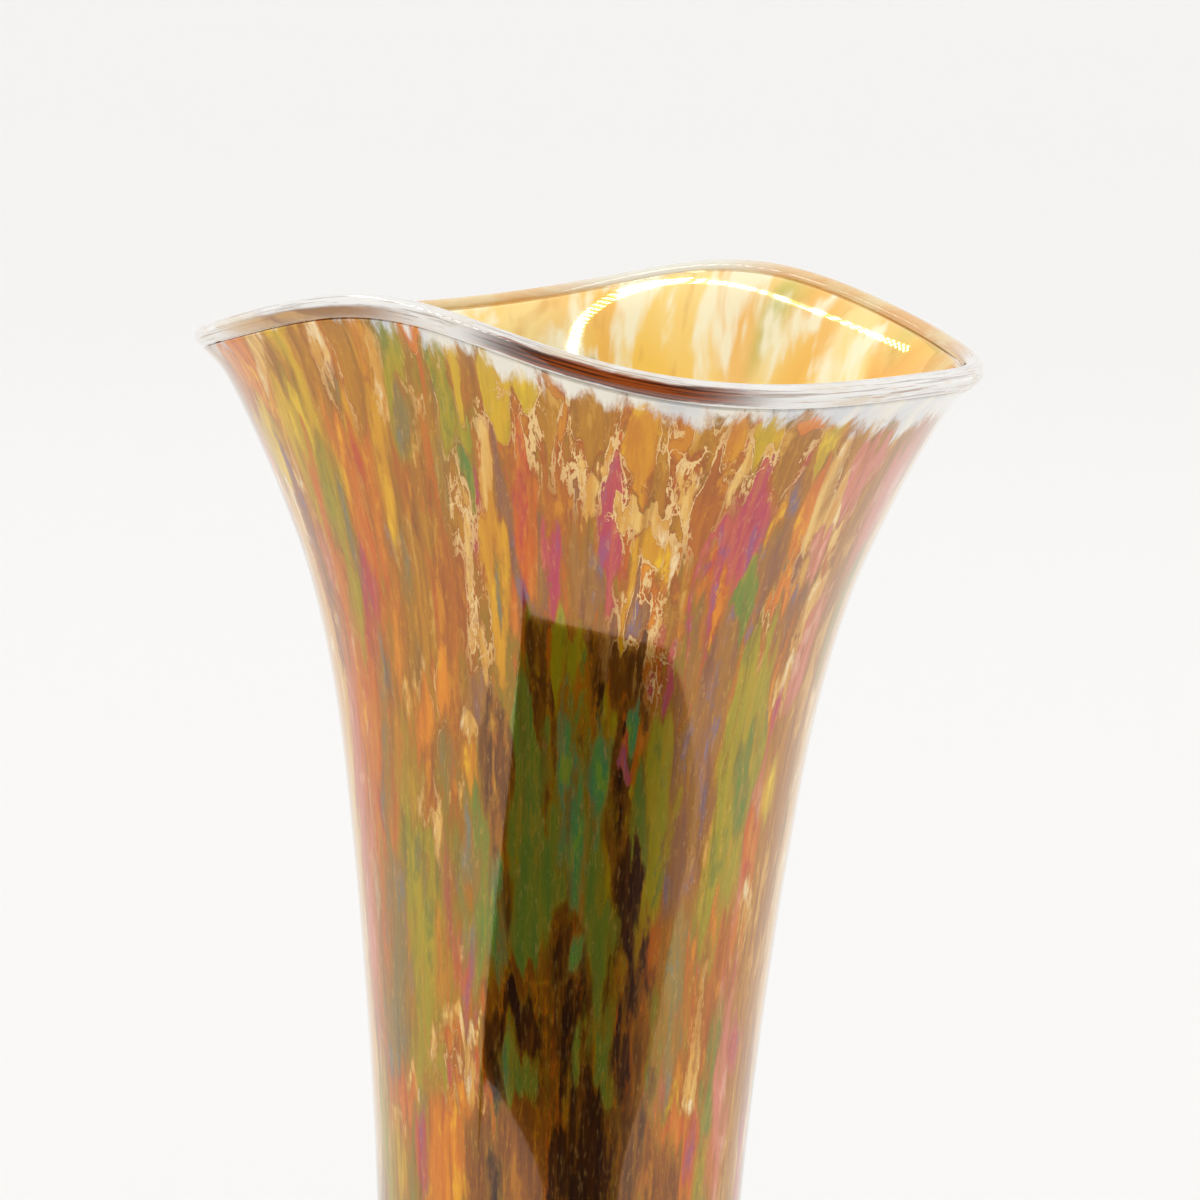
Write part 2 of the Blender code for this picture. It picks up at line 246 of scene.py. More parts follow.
# Streaks: glass, angle (270 is the front), top and bottom below the lip in mm,
# half width in degrees, and, where they differ from USUAL_SHAPE, where along it the streak is
# widest (0 top, 1 bottom) and its lean in degrees
STREAKS = [
    # ground of the left and right margins
    ("olive", 272, 38, 114, 17.0), ("rust", 236, 24, 74, 9.0, 0.4), ("coral", 212, 30, 140, 7.0),
    ("olive", 226, 70, 134, 8.0), ("mauve", 316, 24, 90, 8.0, 0.4), ("rose", 324, 60, 150, 7.0),
    ("rust", 270, 4, 40, 22.0, 0.3), ("orange", 222, 4, 40, 12.0, 0.3), ("tan", 316, 5, 40, 16.0, 0.3),
    ("orange", 240, 126, 160, 14.0), ("cream", 196, 10, 156, 11.0), ("rose", 203, 30, 130, 5.0, 0.6),
    ("yellow", 206, 8, 40, 4.0, 0.4), ("tan", 333, 20, 152, 12.0), ("cream", 345, 8, 152, 6.0),
    ("slate", 216, 84, 134, 8.0), ("tan", 232, 14, 66, 8.0), ("olive", 311, 40, 106, 8.0),
    ("coral", 308, 128, 154, 13.0, 0.6), ("mauve", 299, 40, 102, 6.5, 0.4), ("mauve", 270, 20, 50, 12.0),
    ("tan", 284, 5, 46, 12.0, 0.4), ("rust", 262, 8, 30, 6.0, 0.4, 2),
    # left shoulder under the lip
    ("orange", 198, 2, 14, 6.0, 0.25), ("cream", 207, 1, 14, 2.2, 0.3, -7),
    ("yellow", 210.5, 2, 12, 2.6, 0.3, 1), ("tan", 216.5, 2, 17, 5.2, 0.4, 2),
    ("slate", 219, 8, 17, 2.0, 0.6, 1), ("tan", 225, 2, 20, 5.0, 0.25, -2),
    ("cream", 219, 3, 13, 2.4, 0.4), ("yellow", 211.5, 8, 27, 3.2, 0.4),
    ("amber", 221.5, 13, 22, 1.5, 0.3, -1), ("yellow", 197, 13, 30, 5.0, 0.4, -3),
    ("amber", 228.5, 3, 16, 2.2, 0.4, -1), ("cream", 231, 5, 16, 1.6, 0.2, -1.5),
    ("gold", 228, 14, 36, 2.2, 0.35, -1.5), ("orange", 238.5, 2, 7, 4.6),
    ("olive", 235, 1.5, 23, 3.8, 0.35), ("slate", 234.5, 10, 22, 1.8, 0.6),
    ("cream", 237.8, 9, 29, 0.9, 0.35, -1.5), ("rust", 232.5, 20, 34, 1.6, 0.6),
    ("brown", 233.5, 26, 34, 0.8, 0.6), ("brown", 238.5, 24, 30, 1.0, 0.6),
    ("olive", 246, 2.0, 34, 5.3, 0.35), ("green", 247.5, 17, 31, 2.2),
    ("yellow", 248.3, 2.5, 14, 2.0, 0.4), ("slate", 242.5, 13, 30, 1.2, 0.6),
    ("cream", 241.3, 10, 17, 0.6, 0.5, 0.3), ("tan", 245.2, 20, 37, 2.2, 0.6, 1),
    ("cream", 244.2, 19.5, 30, 0.5, 0.4, -0.6), ("cream", 245.6, 22, 37, 0.9, 0.7, 1),
    ("yellow", 255, 3.0, 15, 3.8, 0.4, 0.5), ("yellow", 260.5, 2.5, 10.5, 3.4),
    ("cream", 251, 8, 27, 0.7, 0.4, 2), ("tan", 264.5, 7, 22, 3.0, 0.3, 2),
    # left margin streaks
    ("mauve", 199.5, 20, 58, 2.4, 0.4, -1), ("coral", 207.8, 18, 62, 1.8, 0.5, -3.5),
    ("olive", 212.8, 19, 56, 3.2, 0.35, -2.5), ("slate", 213.6, 25, 42, 1.3, 0.4),
    ("orange", 218.5, 14, 30, 1.2), ("coral", 221.3, 18, 64, 2.9, 0.45, -5.5),
    ("pink", 216.8, 35, 57, 2.1, 0.5, -2.5), ("mauve", 225, 33, 50, 0.9, 0.4),
    ("orange", 225.5, 38, 62, 1.7, 0.5, -3.5), ("slate", 218, 46, 96, 1.8, 0.5, -4.0),
    ("orange", 206.8, 52, 84, 1.9, 0.5, -1), ("coral", 211.5, 58, 80, 1.5),
    ("coral", 209.8, 76, 114, 2.6, 0.5, 2), ("olive", 222.5, 62, 82, 2.8, 0.45, 0.5),
    ("orange", 220.3, 63, 73, 1.3, 0.5, 0.6), ("yellow", 225, 72, 84, 1.4, 0.5, 0.6),
    # left of the middle
    ("slate", 229.5, 28, 62, 0.9), ("tan", 231.8, 41, 53, 3.4), ("rust", 240, 32, 60, 4.0, 0.4, 1),
    ("coral", 236, 36, 50, 1.0, 0.5, 0.5), ("rust", 244, 40, 58, 1.7),
    ("tan", 242, 44, 58, 0.8, 0.5, -0.6), ("orange", 236.6, 50, 63, 2.4, 0.5, 0.5),
    ("cream", 247.6, 33, 43, 0.8, 0.6, -0.8), ("cream", 247.2, 43, 55, 1.2, 0.6, 2.2),
    ("pink", 256.6, 18, 46, 2.2, 0.5, 1.5), ("pink", 250, 20, 40, 1.6, 0.6, 0.5),
    ("mauve", 254, 14, 46, 2.0, 0.5, 4), ("coral", 259.7, 13, 42, 2.5, 0.55, 1),
    ("mauve", 256, 24, 46, 1.2, 0.5, 2.0), ("gold", 252.6, 25, 58, 3.2, 0.4, 0.5),
    ("slate", 253.2, 31, 48, 0.8, 0.5, 0.3), ("coral", 256.6, 37, 50, 0.9, 0.5, 0.6),
    ("pink", 264.5, 24, 46, 1.4, 0.6, 1.2), ("coral", 267.5, 30, 46, 1.1, 0.6, 1.2),
    ("cream", 224.5, 58, 63, 1.0, 0.5, 1.0), ("cream", 229.8, 55, 60, 1.6, 0.6, -2.0),
    ("orange", 229.5, 58, 71, 3.4, 0.5, 1.2), ("mauve", 247, 53, 67, 4.6),
    ("tan", 243.5, 52, 62, 1.3, 0.5, -1), ("coral", 250.5, 60, 72, 1.2, 0.5, 0.6),
    ("slate", 236.3, 63, 77, 2.1, 0.5, 0.5), ("rust", 231.2, 68, 88, 2.6, 0.5, 1.5),
    ("cream", 228.2, 76.5, 80, 1.1, 0.5, 0.5), ("cream", 231.6, 78, 86, 0.7, 0.5, 2.6),
    ("cream", 244.2, 61.5, 68.5, 1.4, 0.25, 0.8), ("amber", 244.5, 66, 75, 2.1, 0.5, 0.4),
    ("brown", 249.5, 55, 92, 3.0, 0.4, 3.2), ("tan", 250.2, 60, 84, 1.0, 0.5, 2.0),
    ("cream", 240.6, 72, 75.5, 1.0), ("rust", 239, 74, 86, 1.4, 0.5, 0.8),
    # below the middle, left
    ("olive", 230.5, 80, 122, 4.2, 0.4, 0.5), ("slate", 229.5, 84, 96, 1.6),
    ("orange", 234, 96, 112, 1.2, 0.5, 0.8), ("green", 245, 73, 110, 4.6, 0.45, 1.8),
    ("slate", 243.6, 77, 103, 2.7, 0.4, 0.6), ("pink", 235.8, 84, 108, 1.1, 0.4, 3.4),
    ("pink", 242.2, 101, 113, 2.0, 0.6, 0.8), ("orange", 243.6, 91, 101, 1.0, 0.7, 0.3),
    ("cream", 243.0, 102, 105, 0.6), ("olive", 238.6, 107, 113, 1.6),
    ("cream", 240.5, 112.5, 118.5, 6.4, 0.6), ("coral", 238, 116.5, 120.5, 4.4, 0.5, -1),
    ("cream", 233.5, 118.0, 122.5, 2.8, 0.5, -2.0), ("coral", 221, 125, 138, 6.5, 0.4, -4),
    ("cream", 224, 126.0, 129.5, 4.4, 0.5, -4.0), ("cream", 216, 134.5, 137.5, 4.4, 0.5, -4.0),
    ("olive", 234.4, 119, 130, 3.0, 0.4, 1.4), ("pink", 237, 120, 125, 2.6, 0.5, 2.0),
    ("orange", 238.6, 126, 132.5, 2.0), ("pink", 234.5, 127.5, 132, 2.2),
    ("cream", 238.4, 128.6, 131.2, 1.6, 0.5, -0.6), ("pink", 243.4, 119, 131, 1.6, 0.5, 2.0),
    ("cream", 241.6, 119, 131, 0.9, 0.5, 4.2), ("coral", 243.5, 131, 144, 3.8, 0.4),
    ("orange", 232.6, 128, 154, 4.6, 0.5, 0.5), ("pink", 225.6, 131, 154, 2.8),
    ("yellow", 213.8, 135, 154, 3.0, 0.5, 0.4), ("olive", 204, 128, 152, 4.0),
    ("cream", 244.0, 138.5, 141.2, 1.4), ("orange", 244.3, 140, 154, 2.2, 0.4),
    # upper middle and the shoulder's feathers
    ("rust", 267.8, 5, 36, 2.4, 0.4, 1.4), ("mauve", 269, 20, 44, 1.4, 0.5, 1.5),
    ("cream", 271.6, 8, 27, 3.4, 0.3), ("rust", 270.2, 18, 30, 0.8), ("tan", 271.4, 2.5, 16, 3.6, 0.3),
    ("coral", 277.6, 9, 34, 3.6, 0.45, -1.5), ("amber", 279.2, 4.0, 36, 2.4, 0.2, -1.2),
    ("rust", 277.2, 17, 31, 0.9, 0.5, -0.4), ("mauve", 276.6, 19, 27, 0.7, 0.5, -0.2),
    ("pink", 275.4, 14, 46, 2.0, 0.5, 1.5), ("pink", 289.6, 44, 60, 2.6, 0.6, 0.6),
    ("tan", 285.5, 2.5, 26, 4.5, 0.3, 0.8), ("rust", 284.5, 5, 20, 1.4, 0.4, 0.4),
    ("cream", 287, 12, 27, 1.4, 0.5, 0.4), ("cream", 281.5, 22.5, 29, 5.4, 0.4, -1),
    ("rust", 291.6, 12, 48, 2.6, 0.4, -1.2), ("gold", 283.2, 26, 54, 4.6, 0.4, -0.5),
    ("orange", 285.2, 30, 56, 2.6, 0.4, -0.5), ("mauve", 282.0, 33, 50, 1.5, 0.6, 0.3),
    ("amber", 285.4, 29, 42, 1.0, 0.4), ("pink", 286.6, 42, 57, 1.5, 0.5, 2.2),
    ("cream", 288.2, 30, 46, 0.7, 0.3, -1.2), ("cream", 285.4, 45, 51, 0.6, 0.5, 1.0),
    ("tan", 290.2, 30, 56, 0.8, 0.5, -1.6), ("amber", 293, 4.0, 16, 2.4),
    ("cream", 296.5, 9, 25, 2.2, 0.4, -1.5), ("yellow", 298, 4.0, 14, 2.4, 0.4),
    # right shoulder
    ("pink", 300.5, 12, 40, 4.4, 0.6, -1.6), ("pink", 296.4, 24, 60, 4.4, 0.35, -1.6),
    ("cream", 299.0, 13, 17, 0.5, 0.5, -0.4), ("tan", 304.4, 3.0, 23, 4.0, 0.3),
    ("orange", 304.6, 6, 9.5, 2.6), ("pink", 307.4, 11, 29, 1.2, 0.4, -2),
    ("mauve", 307.4, 17, 48, 2.8, 0.4), ("amber", 306.2, 22, 33, 0.8, 0.5, -0.4),
    ("orange", 311.2, 14, 33, 1.2, 0.5, 0.6), ("yellow", 310.8, 5.0, 14.5, 2.8, 0.45),
    ("orange", 298.6, 34, 50, 1.0, 0.4, -1.5), ("coral", 294.2, 30, 44, 0.9),
    ("mauve", 295, 37, 60, 1.1, 0.4, -0.8), ("green", 303.2, 33, 46, 2.8),
    ("tan", 316, 5.0, 22, 4.0, 0.4), ("cream", 319.5, 18, 36, 6.5, 0.5, 3),
    ("cream", 314.2, 13, 34, 1.3, 0.4, 1.4), ("rose", 322, 10.5, 28, 4.3, 0.35, 1.5),
    ("tan", 327, 20, 42, 3.4, 0.5, 2), ("rose", 318.6, 28, 39, 2.6, 0.5, 2.6),
    ("orange", 313.2, 30, 42, 2.6, 0.7, 1.2), ("mauve", 314.4, 29, 38, 1.2, 0.4, 0.5),
    ("slate", 310.8, 30.8, 33.2, 1.6), ("cream", 325, 36, 52, 3.8), ("rose", 336, 12, 40, 5.0, 0.4),
    ("rose", 328.5, 38, 62, 3.6, 0.6, -1), ("olive", 339, 30, 60, 2.6, 0.6),
    ("orange", 310.4, 41, 53, 1.3, 0.3, 1.6), ("cream", 311.4, 45, 53, 0.7, 0.4, 0.6),
    ("coral", 311.2, 46, 52, 0.5, 0.4),
    # right of the middle, downwards
    ("orange", 319.4, 44, 68, 1.9, 0.4, 1), ("cream", 321.8, 50, 63, 1.8, 0.5, 0.6),
    ("pink", 321.8, 58, 70, 1.5), ("yellow", 326, 68, 81, 3.2, 0.6),
    ("coral", 305.7, 52, 76, 0.9, 0.5, -1.6), ("cream", 304.7, 62, 71, 0.7, 0.5, -0.5),
    ("rust", 305.2, 74, 96, 0.7, 0.5, 0.2), ("cream", 305.1, 76, 85.6, 0.5, 0.9, 0.3),
    ("green", 314, 62, 80, 2.6), ("coral", 321.5, 78, 96, 3.0, 0.4),
    ("cream", 322.6, 90, 109, 3.0, 0.5, -1), ("orange", 319.8, 92, 104, 1.2),
    ("rust", 315.2, 94, 116, 2.4, 0.5, 0.8), ("orange", 311, 92, 102, 1.4, 0.4, -0.8),
    ("rust", 304.2, 100, 113, 1.9, 0.4, 1), ("pink", 307.8, 101.2, 105, 1.3),
    ("rust", 309.5, 104, 132, 3.6), ("cream", 310.2, 104.5, 132, 1.9, 0.2, -1.2),
    ("rust", 313.8, 108, 134, 1.6, 0.5, -0.6), ("green", 317.2, 112, 136, 2.6, 0.7, -0.8),
    ("pink", 321.5, 106, 112, 1.7), ("pink", 326, 116, 126, 3.6), ("slate", 299.4, 92, 130, 3.4, 0.5, 1),
    ("green", 295, 104, 122, 1.8), ("pink", 299.3, 120, 130, 0.9, 0.4), ("rust", 305, 122, 130, 1.8),
    ("yellow", 303.4, 127.6, 130.6, 1.3), ("pink", 311.2, 132, 144, 1.1, 0.5, 0.8),
    ("olive", 315.8, 135, 154, 2.6), ("copper", 296, 130, 158, 4.4, 0.4, 0.5),
    # the dark green window in front: the glass's own greens and browns, laid darker than their
    # neighbours as painted shade matching the reflection of the dark room in front
    ("green", 262, 43, 110, 7.6, 0.6, -1), ("olive", 289.4, 60, 100, 5.2, 0.4),
    ("green", 286, 66, 96, 2.6, 0.5, 1), ("green", 272, 50, 108, 6.4, 0.5, 1),
    ("brown", 262.6, 42, 64, 2.4, 0.3), ("brown", 264.8, 52, 78, 0.8, 0.5, 0.4),
    ("olive", 267.6, 43, 60, 3.2, 0.3), ("brown", 274.6, 43, 66, 2.2, 0.5, 0.3),
    ("mauve", 276.4, 40, 55, 2.0, 0.4, 0.8), ("brown", 279.0, 45, 60, 2.0, 0.3, 0.6),
    ("brown", 283.6, 46, 66, 2.2, 0.3, 0.6), ("emerald", 267.8, 52, 86, 1.5, 0.5, 0.5),
    ("emerald", 271.4, 62, 104, 2.4, 0.5, 0.8), ("emerald", 276.2, 57, 82, 1.9, 0.6, 0.4),
    ("emerald", 251.6, 86, 107, 1.4, 0.5, 0.6), ("brown", 280.2, 54, 90, 2.2, 0.4, 0.8),
    ("umber", 282.2, 62, 82, 1.0, 0.6, -0.6), ("umber", 275.8, 52, 66, 0.8, 0.5, 0.6),
    ("brown", 252.8, 60, 96, 2.5, 0.35, 1.4), ("emerald", 284.2, 56, 66, 1.2, 0.5, -0.6),
    ("coral", 287.4, 58, 69.5, 2.5, 0.7, -5.0), ("pink", 282.6, 66.2, 69.4, 1.3, 0.5, -0.6),
    # painted shade: the umber, brown and copper below stand in for the dark room's reflection at the
    # window's lower end, where the surroundings alone leave it too bright
    ("umber", 284, 80, 104, 4.6, 0.6, 2.0), ("umber", 288.4, 90, 142, 4.6, 0.5, 1.0),
    ("olive", 289.6, 88, 101, 1.6), ("brown", 291.4, 106, 142, 3.0), ("brown", 270, 92, 136, 9.0),
    ("copper", 259, 104, 114, 11.5, 0.5, -1), ("umber", 270.5, 94, 136, 5.0, 0.5, 1.0),
    ("umber", 257, 107.5, 132, 9.4, 0.45, 1.5), ("brown", 266.8, 112, 128, 1.3),
    ("copper", 262, 128, 156, 12.0, 0.35, 2), ("green", 255.8, 115, 130.5, 3.8, 0.5, 1.0),
    ("emerald", 253.6, 116, 128, 1.8, 0.5, 0.8), ("green", 260.4, 117, 129, 2.4, 0.5, 1.2),
    ("umber", 257.4, 113, 119, 0.9, 0.6), ("green", 279.2, 92, 120, 4.2, 0.2),
    ("emerald", 272.8, 97, 106, 2.4, 0.5, -0.8), ("umber", 275.6, 100, 112, 1.1, 0.6, 0.6),
    ("umber", 281.4, 98, 108, 0.8, 0.5, 0.8), ("green", 280.6, 112, 138.5, 3.7, 0.45, -0.4),
    ("green", 275.2, 111, 130, 2.0, 0.4, -1.0), ("umber", 277, 120, 132, 0.9, 0.6, 0.8),
    ("brown", 288, 130, 158, 8.0), ("copper", 259, 126, 168, 11.5, 0.4, 1),
    ("copper", 247, 128, 168, 6.0), ("mauve", 302, 40, 92, 4.0), ("copper", 303, 134, 168, 7.0),
    ("umber", 251, 138, 160, 2.6, 0.6, 1.5), ("brown", 284, 128, 158, 9.0),
    ("umber", 277, 122, 175, 11.0), ("umber", 272, 128, 170, 6.0, 0.4),
    ("rust", 288, 112, 126, 0.6, 0.5, 1.0), ("umber", 290.6, 59.4, 60.8, 0.9),
]

USUAL_SHAPE = (0.5, 0)

# Where the thin cream threads between the colours show: angle, depth in mm, their reach, strength
LACE = [
    (251, 10, 22, 7, 0.8), (271, 14, 9, 12, 1.0), (286, 18, 9, 16, 1.1), (283, 40, 7, 14, 1.0),
    (246, 28, 6, 12, 0.8), (248, 46, 5, 12, 0.9), (262, 12, 6, 12, 0.9), (298, 14, 6, 10, 0.9),
    (304, 14, 7, 10, 0.8), (316, 25, 6, 20, 0.7), (328, 30, 8, 26, 0.5), (236, 60, 9, 12, 0.6),
    (232, 80, 5, 12, 0.6), (238, 122, 9, 10, 0.6), (222, 12, 14, 10, 0.6), (277, 24, 4, 12, 0.9),
    (311, 46, 4, 10, 0.7), (288, 52, 4, 8, 0.8), (200, 10, 12, 8, 0.5), (310, 118, 5, 18, 0.4),
]


def random_streaks(rng):
    """Streaks for the sides, the back and the lower body, in the same glass as the front."""
    upper = ["orange", "gold", "coral", "pink", "tan", "rust", "olive", "yellow", "cream",
             "mauve", "rose", "green"]
    lower = ["green", "olive", "brown", "emerald", "tan", "orange", "rust", "mauve", "umber",
             "copper", "slate", "green"]
    placed = []
    for _ in range(RANDOM_STREAKS):
        middle = rng.uniform(0.0, 360.0)
        top = rng.uniform(-4.0, 272.0)
        length = rng.uniform(14.0, 46.0)
        glass = (upper if rng.uniform(0.0, 150.0) > top - 30.0 else lower)[rng.integers(12)]
        wide = rng.uniform(1.6, 5.4) * (0.6 if glass in ("cream", "umber") else 1.0)
        belly = rng.uniform(0.25, 0.7)
        lean = rng.uniform(-3.0, 3.0)
        in_front = 203.0 < middle < 334.0 and top < 132.0
        if not in_front:
            placed.append((glass, middle, top, top + length, wide, belly, lean))
    return placed


def wave_noise(rng, angle, depth, turns, pitch):
    """A smooth random height, from waves this many times around the vase and this long in mm."""
    total = np.zeros(len(angle))
    waves = 30
    for _ in range(waves):
        around = rng.integers(*turns)
        along = rng.choice((-1.0, 1.0)) * 2 * pi / rng.uniform(*pitch)
        total += np.sin(around * angle + along * depth + rng.uniform(0.0, 2 * pi))
    return total / (waves / 2) ** 0.5


def streak_fields(angle, depth, radius):
    """For each glass, how far in mm each point is inside its streaks. Later streaks lie on top."""
    rng = np.random.default_rng(SWAY_SEED)
    per_degree = np.maximum(radius, AXIS_RADIUS) * radians(1.0) / MM
    sway = 0.45 * wave_noise(rng, angle, depth, (25, 80), (12.0, 40.0))
    drag = 1.1 * wave_noise(rng, angle, depth, (70, 140), (25.0, 70.0))
    drag += 1.3 * wave_noise(rng, angle, depth, (25, 70), (25.0, 90.0))
    degrees = np.degrees(angle) + sway / per_degree
    depth = depth + drag * np.clip(depth / 12.0, 0.25, 1.0)
    fields = np.full((len(NAMES), len(angle)), -FIELD_LIMIT)
    placed = [streak + USUAL_SHAPE[len(streak) - 5:] for streak in STREAKS]
    everything = random_streaks(np.random.default_rng(RANDOM_SEED)) + placed
    for glass, middle, top, bottom, wide, belly, lean in everything:
        along = (depth - top) / (bottom - top)
        near = np.flatnonzero((along > -0.4) & (along < 1.4))
        t = along[near]
        above = t < belly
        reach = np.where(above, belly, 1.0 - belly)
        away = np.abs(t - belly) / reach
        power = 0.5 + 0.45 * reach
        shape = np.clip(1.0 - away**2, 0.0, 1.0) ** power
        aside = (degrees[near] - middle - lean * t + 180.0) % 360.0 - 180.0
        inside = (wide * shape - np.abs(aside)) * per_degree[near]
        inside -= np.maximum(0.0, away - 1.0) * reach * (bottom - top) * 0.6
        inside = np.clip(inside, -FIELD_LIMIT, FIELD_LIMIT)
        chosen = NAMES.index(glass)
        for k in range(len(NAMES)):
            if k == chosen:
                fields[k, near] = np.maximum(fields[k, near], inside)
            else:
                fields[k, near] = np.minimum(fields[k, near], -inside)
    return fields


def edge_softness(angle, depth):
    """How far the edges of the colours run into one another. They are crispest in front."""
    aside = (np.degrees(angle) - 280.0 + 180.0) % 360.0 - 180.0
    margin = 1.0 - np.exp(-((aside / 46.0) ** 4))
    below = np.clip((depth - 55.0) / 50.0, 0.0, 1.0)
    soft = 0.55 + 1.8 * margin + 0.8 * below
    return np.where(np.abs(aside) > 90.0, 1.1, soft)


def lace_amount(angle, depth):
    degrees = np.degrees(angle) % 360.0
    amount = np.full(len(angle), 0.10)
    for middle, middle_depth, reach, reach_depth, strength in LACE:
        aside = (degrees - middle + 180.0) % 360.0 - 180.0
        amount = np.maximum(amount, strength * np.exp(-(aside / reach) ** 2
                                                      - ((depth - middle_depth) / reach_depth) ** 2))
    behind = (degrees < 185.0) | (degrees > 345.0) | (depth > 150.0)
    return np.where(behind, np.maximum(amount, 0.55 * np.exp(-depth / 60.0) + 0.1), amount)


def ice_depth(angle):
    """How far below the lip the coloured layer starts, in mm, around the lip."""
    degrees = np.degrees(angle) % 360.0
    band = 5.2 + 0.8 * np.cos(angle - radians(290.0))
    band += 4.6 * np.exp(-((degrees - 331.0) / 19.0) ** 2)
    band -= 0.9 * np.exp(-((degrees - 240.0) / 14.0) ** 2)
    return band - 3.0 * np.exp(-((degrees - 212.0) / 18.0) ** 2)


# ---------------------------------------------------------------- materials

def colour(code):
    """A colour from its six-digit code, as scene linear values."""
    channels = [int(code[i:i + 2], 16) / 255.0 for i in (0, 2, 4)]
    return [c / 12.92 if c <= 0.04045 else ((c + 0.055) / 1.055) ** 2.4 for c in channels] + [1.0]


def set_inputs(node, **values):
    """Sets a node's own sockets, named with underscores for spaces."""
    for name, value in values.items():
        node.inputs[name.replace("_", " ")].default_value = value


class Nodes:
    """Short forms for building a node tree."""

    def __init__(self, tree):
        self.tree = tree

    def new(self, kind, **settings):
        node = self.tree.nodes.new(kind)
        for name, value in settings.items():
            setattr(node, name, value)
        return node

    def put(self, socket, value):
        if isinstance(value, bpy.types.NodeSocket):
            self.tree.links.new(value, socket)
        else:
            socket.default_value = value

    def math(self, operation, a, b=0.0, clamp=False):
        node = self.new("ShaderNodeMath", operation=operation, use_clamp=clamp)
        self.put(node.inputs[0], a)
        self.put(node.inputs[1], b)
        return node.outputs[0]

    def remap(self, value, low, high, to_low=0.0, to_high=1.0):
        node = self.new("ShaderNodeMapRange", interpolation_type="SMOOTHSTEP")
        for i, given in enumerate((value, low, high, to_low, to_high)):
            self.put(node.inputs[i], given)
        return node.outputs[0]

    def mix(self, amount, a, b, blend="MIX"):
        node = self.new("ShaderNodeMix", data_type="RGBA", blend_type=blend)
        self.put(node.inputs[0], amount)
        self.put(node.inputs[6], a)
        self.put(node.inputs[7], b)
        return node.outputs[2]

    def noise(self, vector, scale, detail=3.0, roughness=0.55, distortion=0.0):
        node = self.new("ShaderNodeTexNoise")
        self.put(node.inputs["Vector"], vector)
        set_inputs(node, Scale=scale, Detail=detail, Roughness=roughness, Distortion=distortion)
        return node

    def parts(self, vector):
        node = self.new("ShaderNodeSeparateXYZ")
        self.put(node.inputs[0], vector)
        return node.outputs

    def attribute(self, name, output="Vector"):
        return self.new("ShaderNodeAttribute", attribute_name=name).outputs[output]

    def scaled(self, vector, scale):
        node = self.new("ShaderNodeVectorMath", operation="MULTIPLY")
        self.put(node.inputs[0], vector)
        node.inputs[1].default_value = scale
        return node.outputs[0]


def new_material(name):
    material = bpy.data.materials.new(name)
    material.use_nodes = True
    nodes = Nodes(material.node_tree)
    return material, nodes, material.node_tree.nodes["Principled BSDF"]


def lay_glass_group():
    """A node group that lays one more glass on top of those already laid."""
    tree = bpy.data.node_groups.new("lay_glass", "ShaderNodeTree")
    for name, kind in (("Field", "NodeSocketFloat"), ("Wobble", "NodeSocketFloat"),
                       ("Soft", "NodeSocketFloat"), ("Glass", "NodeSocketColor"),
                       ("Under", "NodeSocketColor"), ("Height", "NodeSocketFloat"),
                       ("Thread", "NodeSocketFloat")):
        tree.interface.new_socket(name, in_out="INPUT", socket_type=kind)
    for name, kind in (("Colour", "NodeSocketColor"), ("Height", "NodeSocketFloat"),
                       ("Thread", "NodeSocketFloat")):
        tree.interface.new_socket(name, in_out="OUTPUT", socket_type=kind)
    nodes = Nodes(tree)
    given = nodes.new("NodeGroupInput").outputs
    result = nodes.new("NodeGroupOutput").inputs
    height = nodes.math("ADD", given["Field"], given["Wobble"])
    over = nodes.math("SUBTRACT", height, given["Height"])
    cover = nodes.remap(over, nodes.math("MULTIPLY", given["Soft"], -1.0), given["Soft"])
    nodes.put(result["Colour"], nodes.mix(cover, given["Under"], given["Glass"]))
    nodes.put(result["Height"], nodes.math("MAXIMUM", height, given["Height"]))
    edge = nodes.remap(nodes.math("ABSOLUTE", over), 0.0, 0.9, 1.0, 0.0)
    kept = nodes.math("MULTIPLY", given["Thread"], nodes.math("SUBTRACT", 1.0, cover))
    nodes.put(result["Thread"], nodes.math("MAXIMUM", kept, edge))
    return tree


